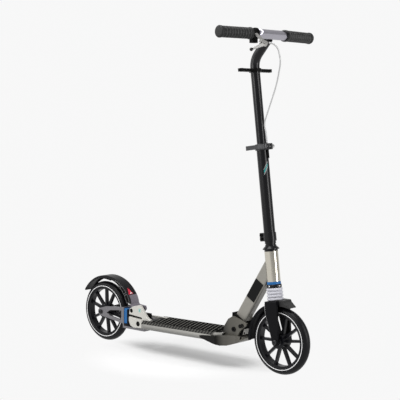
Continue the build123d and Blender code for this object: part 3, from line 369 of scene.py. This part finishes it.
for side, start, which in ((-1, 0.088, "grip_right"), (1, 0.068, "grip_left")):
    direction = Vector((-math.sin(SWEEP), side * math.cos(SWEEP), 0))
    origin = bar_point(0.050, side)
    h0, h1 = start - 0.050, 0.206 - 0.050
    profile = [(0.0112, h0), (0.0168, h0), (0.0175, h0 + 0.0008), (0.0175, h0 + 0.0042), (0.0160, h0 + 0.0052)]
    h = h0 + 0.0085
    while h < h1 - 0.010:
        profile += [(0.0152, h), (0.0162, h + 0.0008), (0.0164, h + 0.0020), (0.0162, h + 0.0032), (0.0152, h + 0.0040)]
        h += 0.0052
    profile += [(0.0160, h1 - 0.0040), (0.0172, h1 - 0.0025), (0.0175, h1), (0.0175, h1 + 0.0025),
                (0.0166, h1 + 0.0042), (0.0145, h1 + 0.0054), (0.0100, h1 + 0.0059), (0.0, h1 + 0.0060)]
    # lighter rings on every other rib crest, painted highlights on the black grip rubber
    h = h0 + 0.0095
    while h < h1 - 0.010:
        crest = lathe(f"{which}_crest_{int(h * 1e4)}", [(0.01625, h), (0.01660, h + 0.0005), (0.01625, h + 0.0011)],
                      origin, direction, GRIP_CREST_HIGHLIGHT, segments=48)
        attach(crest, "upper_stem")
        h += 0.0104
    grip = lathe(f"{which}_ribs", profile, origin, direction, GRIP, segments=72)
    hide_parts(which)
    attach(grip, "upper_stem")

# black clamp ring inside the left grip; the lever's black end is coloured by the lever_silver material
ring = lathe("left_clamp_ring", [(0.0113, 0.0130), (0.0165, 0.0130), (0.0172, 0.0138), (0.0172, 0.0166), (0.0165, 0.0174),
                                 (0.0113, 0.0174)], bar_point(0.050, 1), (-math.sin(SWEEP), math.cos(SWEEP), 0), BLACK, segments=72)
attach(ring, "upper_stem")

# ------------------------------------------------------------------ brake cable

route = [Vector((0.360, -0.053, 0.9675)), Vector((0.369, -0.037, 0.964)), Vector((0.376, -0.027, 0.950)),
         Vector((0.376, -0.015, 0.915)), Vector((0.352, -0.003, 0.850)), Vector((0.3035, 0, 0.738)),
         steer(0.0205, 0.610), steer(0.0205, 0.549)]
radii = []
for a, b, c in zip(route, route[1:], route[2:]):
    half = (b - a).angle(c - b) / 2
    radii.append(0.45 * min((b - a).length, (c - b).length) / math.tan(half))
line = rounded(route, radii)
sleeve = tube("brake_cable_sleeve", line, 0.0022, CABLE, segments=20)
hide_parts("brake_cable")
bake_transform(sleeve)

# ------------------------------------------------------------------ grip mat

PITCH = math.radians(0.9)
ALONG = Vector((math.cos(PITCH), 0, math.sin(PITCH)))
OVER = Vector((-math.sin(PITCH), 0, math.cos(PITCH)))


def deck(u, y, w):
    """A point on the deck: u along it from its middle, y across, w above its middle."""
    return Vector((-0.006, y, 0.086)) + ALONG * u + OVER * w


TOP = 0.0160
ridge_points, ridge_faces = [], []


def add_ridge(p, q, width, height):
    """A low bar with a rounded back from p to q on the mat, both (u, y)."""
    p, q = Vector(p), Vector(q)
    d = (q - p).normalized()
    n = Vector((-d.y, d.x)) * width / 2
    base = len(ridge_points)
    for at in (p, q):
        for off, rise in ((-1, 0.0), (-0.6, height), (0.6, height), (1, 0.0)):
            s = at + n * off
            ridge_points.append(deck(s.x, s.y, TOP + rise - 0.0002))
    for k in range(3):
        ridge_faces.append((base + k, base + 4 + k, base + 5 + k, base + k + 1))
    ridge_faces.append((base, base + 1, base + 2, base + 3))
    ridge_faces.append((base + 7, base + 6, base + 5, base + 4))


step = 0.0150
for row in range(-3, 3):
    y0 = row * 0.0165 + 0.002
    for k in range(-10, 12):
        u0 = k * step + (row % 2) * step / 2
        if not -0.138 < u0 < 0.158:
            continue
        if u0 < -0.116 and abs(y0 + 0.004) < 0.048:
            continue
        if u0 > 0.144 and abs(y0 + 0.004) < 0.036:
            continue
        add_ridge((u0, y0), (u0 - 0.004, y0 + 0.0125), 0.0034, 0.0006)
# the ridges take a lighter colour than the mat rubber as a painted highlight
ridges = mesh("mat_ridges", ridge_points, ridge_faces, MAT_RIDGE_HIGHLIGHT, smooth=False)
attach(ridges, "deck")

# the mat's edge band wraps the deck's bevel, with a row of dark notches; the band is coloured lighter than the black
# mat as a painted highlight, and the notches keep the mat's own black
for side in (-1, 1):
    band_points, band_faces = [], []
    notch_points, notch_faces = [], []
    count = 25
    u_from, u_to = -0.146, 0.160
    for k in range(count):
        a = u_from + (u_to - u_from) * k / count
        b = a + (u_to - u_from) / count
        m = a + (b - a) * 0.55
        for lo, hi, pts, fcs, lift in ((a, m, notch_points, notch_faces, 0.0006), (m, b, band_points, band_faces, 0.0010)):
            i = len(pts)
            slant = 0.002
            for u, s in ((lo, 0), (hi, 0)):
                pts.append(deck(u + slant, side * (0.0515), TOP + 0.0002))
                pts.append(deck(u, side * (0.0602 + lift * 0.5), 0.0072 + lift))
                pts.append(deck(u, side * (0.0590), 0.0066))
            face = [(i, i + 1, i + 4, i + 3), (i + 1, i + 2, i + 5, i + 4)]
            fcs += face if side < 0 else [f[::-1] for f in face]
    band = mesh(f"mat_edge_{'right' if side < 0 else 'left'}", band_points, band_faces, MAT_EDGE_HIGHLIGHT, smooth=False)
    notch = mesh(f"mat_notches_{'right' if side < 0 else 'left'}", notch_points, notch_faces, MAT_NOTCH, smooth=False)
    for obj in (band, notch):
        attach(obj, "deck")

# ------------------------------------------------------------------ small details

# collar screws, bright heads round the lower collar
for angle, which in ((-95, "right"), (-5, "front"), (85, "left"), (175, "rear")):
    a = math.radians(angle)
    out = AHEAD * math.cos(a) + Vector((0, 1, 0)) * math.sin(a)
    screw = lathe(f"collar_screw_{which}", [(0.0026, -0.001), (0.0026, 0.0), (0.0020, 0.0008), (0.0, 0.0010)],
                  steer(0, 0.1612) + out * 0.0222, out, BRIGHT, segments=20)
    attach(screw, "steerer")

# generic slanted strokes on the lower tube
for k, (s, width, m) in enumerate(((0.488, 0.0035, PALE), (0.494, 0.006, TEAL), (0.503, 0.003, PALE))):
    points, faces = [], []
    for i in range(9):
        a = math.radians(-52 + 5.5 * i)
        out = AHEAD * math.cos(a) + Vector((0, 1, 0)) * math.sin(a)
        h = s + 0.0028 * i
        points += [steer(0, h) + out * 0.01706, steer(0, h + width) + out * 0.01706]
    for i in range(8):
        faces.append((2 * i, 2 * i + 2, 2 * i + 3, 2 * i + 1))
    stroke = mesh(f"stem_stroke_{k}", points, faces, m)
    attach(stroke, "steerer")

# fender: three black window patches with pale rims on each side wall, and a white chevron in the reflector. The flat
# black patches are painted shade standing in for the window recesses, and the pale rims are painted highlights on their
# edges.
def around_rear(radius, angle, y):
    a = math.radians(angle)
    return Vector((REAR_X + radius * math.cos(a), y, AXLE + radius * math.sin(a)))


for side, which in ((-1, "right"), (1, "left")):
    dark_points, dark_faces, rim_points, rim_faces = [], [], [], []
    for first, last in ((20, 31.5), (34.5, 46.5), (49.5, 61.5)):
        for spread, lift, pts, fcs in ((0.0008, 0.00015, rim_points, rim_faces), (0.0, 0.0003, dark_points, dark_faces)):
            base, rows = len(pts), 7
            for k in range(rows):
                angle = first + (last - first) * k / (rows - 1)
                slip = math.degrees(spread / 0.128) * (-1 if k == 0 else 1 if k == rows - 1 else 0)
                outer = 0.1335 - 0.0085 * max(0.0, (angle - 32) / 30) ** 1.2
                pts.append(around_rear(0.1215 - spread, angle + slip, side * (0.019 + lift)))
                pts.append(around_rear(outer + spread, angle + slip, side * (0.019 + lift)))
            for k in range(rows - 1):
                face = (base + 2 * k, base + 2 * k + 1, base + 2 * k + 3, base + 2 * k + 2)
                fcs.append(face if side < 0 else face[::-1])
    for obj in (mesh(f"fender_window_shade_{which}", dark_points, dark_faces, PLASTIC, smooth=False),
                mesh(f"fender_window_rim_highlights_{which}", rim_points, rim_faces, EDGE_HIGHLIGHT, smooth=False)):
        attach(obj, "rear_fender")
chevron = prism("reflector_chevron", [(0, 0), (0.010, 0), (0.0045, 0.0055)], (-0.2512, -0.011, 0.1722), (0, 1, 0),
                (-0.6, 0, 0.8), 0.0004, WHITE)
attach(chevron, "rear_fender")

# bright front plate of the hinge knuckle, with two dark screws
plate = prism("knuckle_front_plate", [(0.0, 0.003), (0.042, 0.003), (0.042, 0.0215), (0.0, 0.0215)],
              (0.2403, -0.021, 0.1000), (0, 1, 0), (0.303, 0, 0.953), 0.0006, PLATE)
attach(plate, "front_frame")
for k, (y, rise) in enumerate(((-0.016, 0.008), (0.014, 0.016))):
    screw = lathe(f"knuckle_screw_{k}", [(0.0026, 0.0), (0.0026, 0.0010), (0.0, 0.0012)],
                  Vector((0.2403, y, 0.1000)) + Vector((0.303, 0, 0.953)) * rise + Vector((0.953, 0, -0.303)) * 0.0004,
                  (0.953, 0, -0.303), SCREW, segments=20)
    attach(screw, "front_frame")

# pale line down each fork blade's rear edge, a painted highlight where the raised edge catches the light
for side in (-1, 1):
    edge = tube(f"fork_edge_{side}", [steer(-0.0165, 0.112, side * 0.0322), steer(-0.0175, 0.090, side * 0.0322),
                                      steer(-0.0035, 0.016, side * 0.0322)], 0.0009, EDGE_HIGHLIGHT, segments=10)
    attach(edge, "fork")

# a small pale and teal mark on the tail plate
for name, outline, m, lift in (("tail_mark_ground", [(-0.0055, -0.006), (0.0055, -0.006), (0.0055, 0.006), (-0.0055, 0.006)],
                                TEAL_PALE, 0.0002),
                               ("tail_mark", [(-0.0026, -0.0040), (0.0002, -0.0040), (0.0030, 0.0036), (0.0004, 0.0036)],
                                TEAL, 0.0004)):
    mark = prism(name, outline, (MARK[0], -0.046 - lift + 0.0002, MARK[1]), (1, 0, 0), (0, 0, 1), 0.0002, m)
    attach(mark, "deck")

# ------------------------------------------------------------------ stage, light and camera

def stage_material(name, colour, near, far, least):
    """Matt near the object and plain bright further out, blended by the distance from the middle."""
    m = bpy.data.materials.new(name)
    m.use_nodes = True
    t = m.node_tree
    t.nodes.remove(t.nodes["Principled BSDF"])
    out = t.nodes["Material Output"]
    matt = t.nodes.new("ShaderNodeBsdfDiffuse")
    matt.inputs["Color"].default_value = (0.75, 0.75, 0.75, 1)
    glow = t.nodes.new("ShaderNodeEmission")
    glow.inputs["Color"].default_value = (*colour, 1)
    where = t.nodes.new("ShaderNodeTexCoord")
    length = t.nodes.new("ShaderNodeVectorMath")
    length.operation = "LENGTH"
    t.links.new(where.outputs["Object"], length.inputs[0])
    ramp = t.nodes.new("ShaderNodeMapRange")
    ramp.interpolation_type = "SMOOTHSTEP"
    ramp.inputs["From Min"].default_value = near
    ramp.inputs["From Max"].default_value = far
    ramp.inputs["To Min"].default_value = least
    t.links.new(length.outputs["Value"], ramp.inputs["Value"])
    both = t.nodes.new("ShaderNodeMixShader")
    t.links.new(ramp.outputs["Result"], both.inputs[0])
    t.links.new(matt.outputs[0], both.inputs[1])
    t.links.new(glow.outputs[0], both.inputs[2])
    t.links.new(both.outputs[0], out.inputs["Surface"])
    return m


PAPER = 0.935
paper = stage_material("paper", (PAPER, PAPER, PAPER), 0.18, 0.36, 0.12)
R = 14.0
points = [(0, 0, 0)] + [(R * math.cos(math.radians(5 * k)), R * math.sin(math.radians(5 * k)), 0) for k in range(72)]
floor = mesh("floor", points, [(0, 1 + k, 1 + (k + 1) % 72) for k in range(72)], paper, smooth=False)
wall = mesh("backdrop", [(x, y, z) for z in (-0.5, 9.0) for x, y in
                         [(13.9 * math.cos(math.radians(5 * k)), 13.9 * math.sin(math.radians(5 * k))) for k in range(19, 57)]],
            [(k, k + 1, 38 + k + 1, 38 + k) for k in range(37)], paper, smooth=False)
bpy.context.view_layer.update()


def area(name, at, towards, width, height, power, colour=(1, 1, 1)):
    data = bpy.data.lights.new(name, "AREA")
    data.shape = "RECTANGLE"
    data.size = width
    data.size_y = height
    data.energy = power
    data.color = colour
    obj = bpy.data.objects.new(name, data)
    obj.location = at
    obj.rotation_euler = (Vector(towards) - Vector(at)).to_track_quat("-Z", "Y").to_euler()
    bpy.context.scene.collection.objects.link(obj)


area("key", (0.02, -0.66, 2.20), (0.0, 0.03, 0.0), 1.35, 1.35, 37)
area("front_softbox", (2.4, 0.35, 1.0), (0.2, 0.0, 0.5), 0.7, 1.8, 30)
area("near_side", (-0.6, -2.6, 1.3), (0.0, 0.0, 0.3), 1.0, 1.0, 22)
area("rear_fill", (-2.2, -1.6, 1.4), (-0.2, 0.0, 0.3), 1.0, 1.0, 8)

world = bpy.data.worlds.new("studio")
world.use_nodes = True
world.node_tree.nodes["Background"].inputs["Color"].default_value = (0.93, 0.93, 0.93, 1)
world.node_tree.nodes["Background"].inputs["Strength"].default_value = 0.45
bpy.context.scene.world = world
bpy.context.scene.view_settings.view_transform = "Standard"
bpy.context.scene.view_settings.look = "None"

camera_data = bpy.data.cameras.new("camera")
camera_data.sensor_width = 36.0
camera_data.lens = 100.5
camera_data.clip_end = 60.0
camera = bpy.data.objects.new("camera", camera_data)
camera.location = (2.3703, -2.5616, 0.7741)
target = Vector((0.0493, 0.0, 0.4977))
camera.rotation_euler = (target - camera.location).to_track_quat("-Z", "Y").to_euler()
bpy.context.scene.collection.objects.link(camera)
bpy.context.scene.camera = camera
